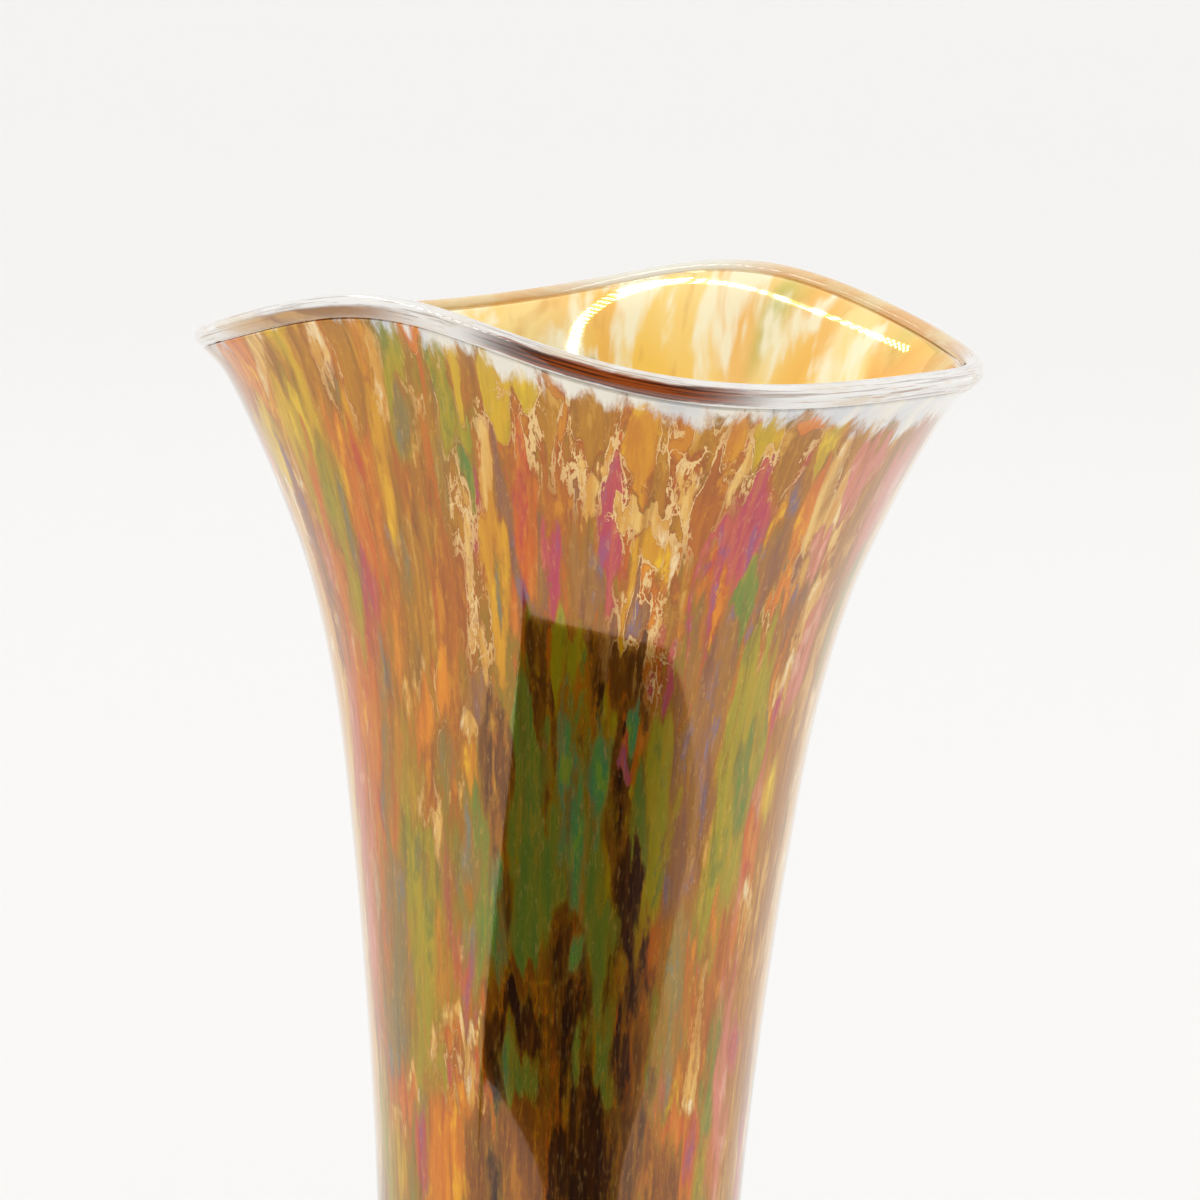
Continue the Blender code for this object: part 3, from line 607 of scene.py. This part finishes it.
def streaked_glass():
    """The vase's outside: streaks of coloured glass under a glossy, partly metallic lustre."""
    material, nodes, shader = new_material("streaked_lustre_glass")
    group = lay_glass_group()
    flow = nodes.attribute("flow")

    def colour_noise(stretch, scale, detail, roughness, distortion):
        place = nodes.scaled(flow, (1.0, 1.0, stretch))
        return nodes.parts(nodes.noise(place, scale, detail, roughness, distortion).outputs["Color"])

    def swing(value, reach):
        return nodes.math("MULTIPLY", nodes.math("SUBTRACT", value, 0.5), reach)

    def total(*values):
        result = values[0]
        for value in values[1:]:
            result = nodes.math("ADD", result, value)
        return result

    broad = colour_noise(1.0, 0.15, 3.0, 0.55, 0.4)
    feather = colour_noise(0.8, 0.42, 4.0, 0.60, 0.4)
    fine = colour_noise(0.8, 2.0, 3.0, 0.65, 0.3)
    hair = colour_noise(0.25, 0.75, 5.0, 0.62, 0.2)
    wobbles = [total(swing(broad[i], 2.4), swing(feather[i], 3.2), swing(fine[i], 1.7))
               for i in range(3)]

    streak_shade = nodes.remap(hair[0], 0.36, 0.64)
    third_shade = nodes.remap(feather[1], 0.52, 0.66)
    ground = nodes.mix(nodes.remap(broad[2], 0.40, 0.60), colour("B07230"), colour("987C38"))
    ground = nodes.mix(nodes.remap(hair[1], 0.50, 0.62), ground, colour("C87444"))

    soft = nodes.attribute("soft", "Fac")
    painted, height, thread = ground, 0.0, 0.0
    channels = [nodes.parts(nodes.attribute(f"glass_{i}")) for i in range(len(NAMES) // 3)]
    for k, name in enumerate(NAMES):
        main, second, third, softness, ragged = GLASSES[name]
        tint = nodes.mix(streak_shade, colour(main), colour(second))
        tint = nodes.mix(third_shade, tint, colour(third))
        layer = nodes.new("ShaderNodeGroup", node_tree=group)
        layer.name = f"lay_{name}"
        for socket, value in (("Field", channels[k // 3][k % 3]),
                              ("Wobble", nodes.math("MULTIPLY", wobbles[k % 3], ragged)),
                              ("Soft", nodes.math("MULTIPLY", soft, softness)), ("Glass", tint),
                              ("Under", painted), ("Height", height), ("Thread", thread)):
            nodes.put(layer.inputs[socket], value)
        painted, height, thread = (layer.outputs[n] for n in ("Colour", "Height", "Thread"))

    # hairs of the neighbouring tones drawn out along the streaks
    painted = nodes.mix(nodes.remap(hair[2], 0.50, 0.70, 0.0, 0.34), painted, colour("D2904A"))
    painted = nodes.mix(nodes.remap(hair[1], 0.48, 0.30, 0.0, 0.40), painted, colour("80502A"))
    painted = nodes.mix(nodes.remap(fine[2], 0.54, 0.70, 0.0, 0.22), painted, colour("F0C080"))

    # cream threads with brown borders along the edges of the colours, and loose ones between them
    lace = nodes.attribute("lace", "Fac")
    curl = nodes.noise(nodes.scaled(flow, (1.0, 1.0, 1.1)), 0.30, 4.0, 0.66, 0.9).outputs["Fac"]
    near = nodes.math("ABSOLUTE", nodes.math("SUBTRACT", curl, 0.5))
    gate = nodes.remap(broad[0], 0.49, 0.60)
    wisp = nodes.remap(lace, 0.3, 1.0, 0.0, 1.0)
    width = nodes.math("MULTIPLY", nodes.math("MULTIPLY", gate, wisp), 0.035)
    loose = nodes.remap(near, nodes.math("MULTIPLY", width, 0.55), width, 1.0, 0.0)
    loose_border = nodes.remap(near, width, nodes.math("MULTIPLY", width, 2.1), 1.0, 0.0)
    level = nodes.remap(feather[2], 0.40, 0.60, 0.98, 0.62)
    line = nodes.remap(thread, level, nodes.math("ADD", level, 0.16))
    border = nodes.remap(thread, nodes.math("SUBTRACT", level, 0.5), level)
    loose_border = nodes.math("MULTIPLY", loose_border, nodes.math("MULTIPLY", gate, wisp))
    borders = nodes.math("MAXIMUM", nodes.math("MULTIPLY", border, lace), loose_border)
    line = nodes.math("MULTIPLY", line, nodes.remap(lace, 0.15, 0.9, 0.0, 1.0))
    lines = nodes.math("ADD", line, nodes.math("MULTIPLY", loose, wisp), clamp=True)
    painted = nodes.mix(nodes.math("MULTIPLY", borders, 0.60), painted, colour("A05030"))
    painted = nodes.mix(nodes.math("MULTIPLY", lines, 0.9), painted, colour("F5D29A"))

    # the icy band under the lip, where the coloured layer stops
    ice_field = total(nodes.attribute("ice", "Fac"), swing(feather[2], 14.0), swing(fine[1], 3.0),
                      swing(broad[0], 6.0))
    ice = nodes.remap(ice_field, -1.8, 1.6)
    frost = nodes.mix(nodes.remap(broad[1], 0.42, 0.60), colour("F1EADC"), colour("D8D8DA"))
    frost = nodes.mix(nodes.remap(hair[0], 0.5, 0.7, 0.0, 0.6), frost, colour("FFF6E4"))
    painted = nodes.mix(ice, painted, frost)

    rich = nodes.new("ShaderNodeHueSaturation")
    set_inputs(rich, Saturation=1.14)
    nodes.put(rich.inputs["Color"], painted)
    nodes.put(shader.inputs["Base Color"], rich.outputs[0])
    nodes.put(shader.inputs["Roughness"], nodes.remap(broad[1], 0.3, 0.7, 0.05, 0.11))
    nodes.put(shader.inputs["Metallic"], nodes.remap(ice, 0.0, 1.0, 0.66, 0.15))
    set_inputs(shader, Coat_Weight=1.0, Coat_Roughness=0.02, IOR=1.5)
    bump = nodes.new("ShaderNodeBump")
    set_inputs(bump, Strength=0.06, Distance=0.0003)
    nodes.put(bump.inputs["Height"], feather[0])
    nodes.put(shader.inputs["Normal"], bump.outputs[0])
    return material


def golden_lining():
    """The hollow's lining: amber glass under a golden lustre, drawn into streaks."""
    material, nodes, shader = new_material("golden_lustre_lining")
    flow = nodes.attribute("flow")
    broad = nodes.noise(flow, 0.075, 2.0, 0.45, 0.5).outputs["Color"]
    parts = nodes.parts(broad)
    streak = nodes.noise(flow, 0.22, 3.0, 0.5, 0.3).outputs["Fac"]
    gold = nodes.mix(nodes.remap(parts[0], 0.35, 0.65), colour("FFC83A"), colour("FFE090"))
    gold = nodes.mix(nodes.remap(parts[1], 0.50, 0.66), gold, colour("F9B240"))
    gold = nodes.mix(nodes.remap(parts[2], 0.52, 0.62), gold, colour("BEBC50"))
    gold = nodes.mix(nodes.remap(streak, 0.50, 0.64, 0.0, 0.9), gold, colour("FFF4CC"))
    gold = nodes.mix(nodes.remap(streak, 0.44, 0.32, 0.0, 0.5), gold, colour("E09C24"))
    nodes.put(shader.inputs["Base Color"], gold)
    nodes.put(shader.inputs["Roughness"], nodes.remap(streak, 0.3, 0.7, 0.03, 0.07))
    set_inputs(shader, Metallic=0.75, Coat_Weight=1.0, Coat_Roughness=0.02)
    return material


def lip_glass():
    """The lip bead: clear glass with a drawn-out band of dark amber on its outer side at the front,
    partly its own amber and partly a painted reflection of the dark room, with painted shade at the left
    and a painted highlight at the back.
    """
    material, nodes, shader = new_material("lip_amber_glass_and_painted_light")
    place = nodes.new("ShaderNodeTexCoord").outputs["Object"]
    cloud = nodes.parts(nodes.noise(nodes.scaled(place, (55.0, 55.0, 240.0)), 1.0, 4.0, 0.6,
                                    0.4).outputs["Color"])
    over = nodes.attribute("over", "Fac")
    wander = nodes.math("MULTIPLY", nodes.math("SUBTRACT", cloud[0], 0.5), 0.9)
    turn = nodes.math("ADD", over, wander)
    drawn = nodes.parts(nodes.noise(nodes.attribute("bead"), 1.0, 4.0, 0.6, 0.2).outputs["Color"])
    clear = nodes.mix(nodes.remap(cloud[1], 0.45, 0.65), colour("FFFDF8"), colour("F2E2C8"))
    clear = nodes.mix(nodes.remap(drawn[0], 0.56, 0.60, 0.0, 0.65), clear, colour("A08A7C"))
    clear = nodes.mix(nodes.remap(drawn[1], 0.60, 0.64, 0.0, 0.6), clear, colour("C07C44"))
    clear = nodes.mix(nodes.remap(cloud[2], 0.56, 0.70), clear, colour("E6DEE4"))
    warm = nodes.mix(nodes.remap(cloud[2], 0.40, 0.60), colour("FFE4A8"), colour("FAC274"))
    # painted highlight: near white over the back of the lip around 74 degrees, where its edge glints
    warm = nodes.mix(nodes.attribute("pale", "Fac"), warm, colour("FFFBEA"))
    clear = nodes.mix(nodes.attribute("back", "Fac"), clear, warm)
    # painted reflection: the dark amber band across the front of the bead is partly the bead's own amber
    # and partly a painted reflection of the dark room in front
    amber = nodes.mix(nodes.remap(drawn[2], 0.44, 0.56), colour("4A2210"), colour("A24A18"))
    upper = nodes.remap(turn, 0.90, 1.10)
    lower = nodes.remap(turn, 2.45, 2.25)
    band = nodes.math("MULTIPLY", nodes.math("MULTIPLY", upper, lower), nodes.attribute("band", "Fac"))
    # painted shade: at the left, the bead's underside is darkened in the wall's tan and brown tones
    shade = nodes.math("MULTIPLY", nodes.remap(turn, 1.25, 1.65), nodes.attribute("shade", "Fac"))
    wall_tone_and_shade = nodes.mix(nodes.remap(cloud[1], 0.42, 0.58), colour("A8743C"), colour("D8A45C"))
    wall_tone_and_shade = nodes.mix(nodes.remap(turn, 1.75, 1.35), wall_tone_and_shade, colour("8A6044"))
    tint = nodes.mix(shade, clear, wall_tone_and_shade)
    tint = nodes.mix(band, tint, amber)
    nodes.put(shader.inputs["Base Color"], tint)
    nodes.put(shader.inputs["Roughness"], nodes.remap(cloud[0], 0.3, 0.7, 0.02, 0.05))
    set_inputs(shader, Transmission_Weight=0.15, IOR=1.5, Coat_Weight=1.0, Coat_Roughness=0.01)
    return material


def amber_glass(name, light, dark, scale):
    """Clear amber glass with drawn-out threads of a darker amber."""
    material, nodes, shader = new_material(name)
    place = nodes.new("ShaderNodeTexCoord").outputs["Object"]
    cloud = nodes.noise(nodes.scaled(place, scale), 1.0, 3.0, 0.55, 0.4).outputs["Fac"]
    nodes.put(shader.inputs["Base Color"],
              nodes.mix(nodes.remap(cloud, 0.38, 0.62), colour(light), colour(dark)))
    nodes.put(shader.inputs["Roughness"], nodes.remap(cloud, 0.3, 0.7, 0.01, 0.05))
    set_inputs(shader, Transmission_Weight=0.85, IOR=1.5, Coat_Weight=0.5, Coat_Roughness=0.01)
    return material


def hidden_streaks(name, light, dark, third):
    """For the layers fused inside the wall: clouded streaks drawn out along the vase."""
    material, nodes, shader = new_material(name)
    place = nodes.new("ShaderNodeTexCoord").outputs["Object"]
    cloud = nodes.noise(nodes.scaled(place, (260.0, 260.0, 45.0)), 1.0, 4.0, 0.6, 0.6)
    parts = nodes.parts(cloud.outputs["Color"])
    tint = nodes.mix(nodes.remap(parts[0], 0.4, 0.6), colour(light), colour(dark))
    tint = nodes.mix(nodes.remap(parts[1], 0.52, 0.6), tint, colour(third))
    nodes.put(shader.inputs["Base Color"], tint)
    nodes.put(shader.inputs["Roughness"], nodes.remap(parts[2], 0.3, 0.7, 0.12, 0.3))
    set_inputs(shader, Coat_Weight=0.6, Coat_Roughness=0.04)
    return material


# ---------------------------------------------------------------- the pieces

def section_lengths(section):
    """Length along the section from its last point back to each point, in mm."""
    lengths = [0.0]
    for a, b in zip(section[:-1], section[1:]):
        lengths.append(lengths[-1] + hypot(b[0] - a[0], b[1] - a[1]) / MM)
    return np.array(lengths)


def set_flow(piece, angle, along):
    """Coordinates drawn out along the vase, so that a noise over them makes streaks."""
    across = 35.0
    add_vectors(piece, "flow", np.stack([across * np.cos(angle), across * np.sin(angle),
                                         0.26 * along], 1))


def make_body():
    """The clear casing, with the coloured layer showing through it."""
    outer = wall_line(0.0, FOOT_HEIGHT + GAP, 146, 12)
    inner = wall_line(CASING_THICKNESS, FOOT_HEIGHT + GAP + CASING_THICKNESS, 14, 5)
    section = list(reversed(inner)) + outer
    piece, angle, radius, height, rows = turned_mesh("clear_casing_glass", section, BODY_TURN_STEPS)
    along = section_lengths(section)
    mouth = along[len(inner)]
    along = (along - mouth)[rows]
    depth = (STREAK_TOP - height) / MM
    fields = streak_fields(angle, depth, radius)
    for i in range(len(NAMES) // 3):
        add_vectors(piece, f"glass_{i}", fields[3 * i:3 * i + 3].T)
    add_values(piece, "lace", lace_amount(angle, depth))
    add_values(piece, "soft", edge_softness(angle, depth))
    add_values(piece, "ice", ice_depth(angle) - depth)
    set_flow(piece, angle, along)
    piece.data.materials.append(streaked_glass())
    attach(piece, "root")
    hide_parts("clear_casing")


def make_lining():
    outer = wall_line(LINING_DEPTH, FOOT_HEIGHT + GAP + LINING_DEPTH, 24, 6)
    inner = wall_line(WALL_THICKNESS, FLOOR_HEIGHT, 110, 14)
    section = list(reversed(inner)) + outer
    piece, angle, _, _, rows = turned_mesh("golden_lining_glass", section)
    set_flow(piece, angle, section_lengths(section)[rows])
    piece.data.materials.append(golden_lining())
    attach(piece, "root")
    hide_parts("amber_lining")


def make_lip():
    middle_radius, middle_height = wall_point(LIP_HEIGHT, 0.5 * WALL_THICKNESS)
    half_seat = pi - np.arctan2((LIP_WRAP_RADIUS**2 - LIP_WRAP_SEAT**2) ** 0.5, LIP_WRAP_SEAT)
    turns = LIP_LEAN - half_seat + 2 * half_seat * np.arange(LIP_STEPS + 1) / LIP_STEPS
    section = [(middle_radius + LIP_WRAP_RADIUS * sin(turn),
                middle_height + LIP_WRAP_RADIUS * cos(turn)) for turn in turns]
    piece, angle, _, _, rows = turned_mesh("lip_bead_glass", section)
    add_values(piece, "over", turns[rows])
    add_vectors(piece, "bead", np.stack([5.0 * turns[rows], 3.0 * np.cos(angle),
                                         3.0 * np.sin(angle)], 1))
    degrees = np.degrees(angle) % 360.0
    # band: only across the front, where the painted reflection of the dark room lies
    add_values(piece, "band", np.exp(-((degrees - 273.5) / 20.0) ** 6))
    # shade: the painted shade under the bead at the left
    add_values(piece, "shade", np.exp(-((degrees - 221.0) / 19.0) ** 4))
    # pale: the painted highlight at the back of the lip
    add_values(piece, "pale", np.exp(-((degrees - 74.0) / 22.0) ** 4))
    add_values(piece, "back", np.clip(0.5 + 2.5 * np.sin(angle), 0.0, 1.0))
    piece.data.materials.append(lip_glass())
    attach(piece, "root")
    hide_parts("lip_wrap")


def make_foot():
    edge = 0.5 * FOOT_HEIGHT
    section = [(0.0, FOOT_HEIGHT), (0.5 * FLAT_RADIUS, FOOT_HEIGHT)]
    for i in range(FOOT_EDGE_STEPS + 1):
        angle = pi * i / FOOT_EDGE_STEPS
        section.append((FOOT_RADIUS - edge + edge * sin(angle), edge + edge * cos(angle)))
    for i in range(PONTIL_STEPS):
        across = cos(0.5 * pi * i / PONTIL_STEPS)
        section.append((PONTIL_RADIUS * across, PONTIL_DEPTH * (1.0 - across**2)))
    section.append((0.0, PONTIL_DEPTH))
    piece = turned_mesh("foot_glass", section)[0]
    piece.data.materials.append(amber_glass("foot_amber_glass", "E2A45C", "B06A2C",
                                            (90.0, 90.0, 60.0)))
    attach(piece, "root")
    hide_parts("foot_pad")


def dress_inner_layers():
    for node, material in (
        ("coloured_glass_layer", hidden_streaks("fused_colour_streaks", "C88A4C", "8A7A44", "B86A50")),
        ("opal_layer", hidden_streaks("clouded_opal", "EDEAE2", "D2D0D6", "F6F1E4")),
    ):
        node_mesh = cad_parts[node].data
        node_mesh.materials.clear()
        node_mesh.materials.append(material)


# ---------------------------------------------------------------- studio

def glowing_material(name, tint, strength):
    material, _, shader = new_material(name)
    set_inputs(shader, Base_Color=(0.0, 0.0, 0.0, 1.0), Roughness=0.9, Specular_IOR_Level=0.0,
               Emission_Color=tint, Emission_Strength=strength)
    return material


def sweep_material():
    """Near white, a little brighter up the backdrop, which less light reaches."""
    material, nodes, shader = new_material("pale_sweep")
    height = nodes.parts(nodes.new("ShaderNodeTexCoord").outputs["Object"])[2]
    low, high = (0.943, 0.937, 0.926, 1.0), (1.0, 0.992, 0.98, 1.0)
    nodes.put(shader.inputs["Base Color"], nodes.mix(nodes.remap(height, 0.0, 0.8), low, high))
    set_inputs(shader, Roughness=0.9, Specular_IOR_Level=0.0, Emission_Color=(1.0, 0.99, 0.97, 1.0))
    nodes.put(shader.inputs["Emission Strength"], nodes.remap(height, 0.3, 1.0, 0.0, 0.04))
    return material


def make_studio():
    """A seamless pale sweep: a floor that curves up into a backdrop behind the vase."""
    profile = [(-6.0, 0.0), (2.2, 0.0)]
    profile += [(2.2 + 1.0 * sin(a), 1.0 - 1.0 * cos(a)) for a in np.linspace(0.1, 0.5 * pi, 12)]
    profile.append((3.2, 5.0))
    points = []
    for x in (-6.0, 6.0):
        points += [(x, y, z) for y, z in profile]
    count = len(profile)
    mesh = bpy.data.meshes.new("sweep")
    mesh.from_pydata(points, [], [(i, i + count, i + count + 1, i + 1) for i in range(count - 1)])
    mesh.shade_smooth()
    sweep = new_object("sweep", mesh)
    mesh.materials.append(sweep_material())
    sweep.visible_glossy = False

    world = bpy.data.worlds.new("soft_white")
    world.use_nodes = True
    nodes = Nodes(world.node_tree)
    y = nodes.parts(nodes.new("ShaderNodeTexCoord").outputs["Generated"])[1]
    front = nodes.remap(y, 0.1, -0.9)
    light = nodes.mix(front, (1.15, 1.15, 1.15, 1.0), (0.83, 0.83, 0.83, 1.0))
    nodes.put(world.node_tree.nodes["Background"].inputs["Color"], light)
    bpy.context.scene.world = world


def only_in_reflections(piece):
    piece.visible_camera = False
    piece.visible_diffuse = False
    piece.visible_shadow = False
    piece.visible_transmission = False
    piece.visible_volume_scatter = False


# What only reflections show: a pale floor and back that glow, called the tent, and a dark room in
# front. That floor is lower than the real one, so that one edge suits both ends of the vase's neck.
# Heights are in metres, the rest in mm, chosen for the photograph's view.
LOW_FLOOR = -0.036
LEFT_SIDE = [(-420, -450), (-290, -250)]
RIGHT_SIDE = [(470, -230), (520, 0)]
BOW_MIDDLE = -40              # the front edge bows out furthest here, across
BOW_FRONT = -365              # and this far forward
BOW_RADIUS = 550
BOW_SPREAD = radians(27)      # to each side of its middle
BOW_STEPS = 10
ROOM_FAR = [(1900, 0), (1250, -1420), (-1250, -1420)]
ROOM_HEIGHT = 1.4
TENT_BACK = [(1900, 2400), (-1900, 2400), (-1900, -700)]
TENT_HEIGHT = 3.0
TENT_GLOW = 0.92
LAMP_GLOW = 12.0


def room_material():
    """Dark in front, growing paler round to the right."""
    material, nodes, shader = new_material("dark_room")
    x, y, _ = nodes.parts(nodes.new("ShaderNodeTexCoord").outputs["Object"])
    turn = nodes.math("ARCTAN2", x, nodes.math("MULTIPLY", y, -1.0))
    tint = nodes.mix(nodes.remap(turn, radians(18.0), radians(95.0)), (0.055, 0.05, 0.042, 1.0),
                     (0.95, 0.945, 0.935, 1.0))
    nodes.put(shader.inputs["Base Color"], tint)
    set_inputs(shader, Roughness=0.9, Specular_IOR_Level=0.0)
    return material


def flat_piece(name, corners, faces, material):
    mesh = bpy.data.meshes.new(name)
    mesh.from_pydata([(x * MM, y * MM, z) for x, y, z in corners], [], faces)
    mesh.materials.append(material)
    only_in_reflections(new_object(name, mesh))


def room_edge():
    """Where the pale floor ends: straight at the left, a bow in front, straight at the right."""
    bow = []
    for i in range(BOW_STEPS + 1):
        turn = BOW_SPREAD * (2 * i / BOW_STEPS - 1)
        bow.append((BOW_MIDDLE + BOW_RADIUS * sin(turn), BOW_FRONT + BOW_RADIUS * (1 - cos(turn))))
    return LEFT_SIDE + bow + RIGHT_SIDE


def make_surroundings():
    """The dark room in front of the tent and the tent's pale floor, which only reflections show."""
    ground = [(x, y, LOW_FLOOR) for x, y in room_edge() + ROOM_FAR]
    high = [(x, y, ROOM_HEIGHT) for x, y in reversed(ROOM_FAR[1:])]
    count = len(ground)
    flat_piece("dark_room", ground + high,
               [list(range(count)), (count - 2, count - 1, count, count + 1)], room_material())
    floor = [(x, y, LOW_FLOOR) for x, y in room_edge() + ROOM_FAR[:1] + TENT_BACK]
    back = [(x, y, TENT_HEIGHT) for x, y in reversed(TENT_BACK[:2])]
    count = len(floor)
    flat_piece("tent", floor + back, [list(range(count)), (count - 3, count - 2, count, count + 1)],
               glowing_material("tent_white", (1.0, 0.993, 0.98, 1.0), TENT_GLOW))


def make_lamps():
    """A straight strip of small lamps above the vase's left, which only reflections show.

    The flaring mouth bends it into an arch of sparkles.
    """
    aside, height, size = -0.135, 0.46, 0.0036
    front, back = -0.180, 0.130
    pitch, row_space = 0.014, 0.0085
    mesh = bpy.data.meshes.new("lamps")
    shape = bmesh.new()
    for row in (-1, 0, 1):
        for y in np.arange(front + 0.5 * pitch * row, back, pitch):
            place = Matrix.Translation((aside + row_space * row, y, height))
            bmesh.ops.create_icosphere(shape, subdivisions=1, radius=size, matrix=place)
    shape.to_mesh(mesh)
    shape.free()
    mesh.materials.append(glowing_material("lamp_white", (1.0, 0.97, 0.9, 1.0), LAMP_GLOW))
    only_in_reflections(new_object("lamps", mesh))


def make_camera():
    """A long lens a little above the lip, looking slightly down on the mouth."""
    pitch, roll = radians(10.6), radians(1.97)
    distance, aim_height, aim_right, aim_up = 0.565, 0.290, 0.00205, -0.0477
    forward = Vector((0.0, cos(pitch), -sin(pitch)))
    up = Vector((0.0, sin(pitch), cos(pitch)))
    side = Vector((1.0, 0.0, 0.0))
    right = side * cos(roll) + up * sin(roll)
    over = up * cos(roll) - side * sin(roll)
    place = Vector((0.0, 0.0, aim_height)) - forward * distance + right * aim_right + over * aim_up
    camera = new_object("camera", bpy.data.cameras.new("camera"))
    camera.data.lens = 100.0
    camera.data.sensor_width = 36.0
    camera.data.clip_start = 0.01
    turn = Matrix((right, over, -forward)).transposed().to_4x4()
    camera.matrix_world = Matrix.Translation(place) @ turn
    bpy.context.scene.camera = camera
    bpy.context.scene.view_settings.view_transform = "Standard"


make_camera()
make_studio()
make_surroundings()
make_lamps()
make_body()
make_lining()
make_lip()
make_foot()
dress_inner_layers()
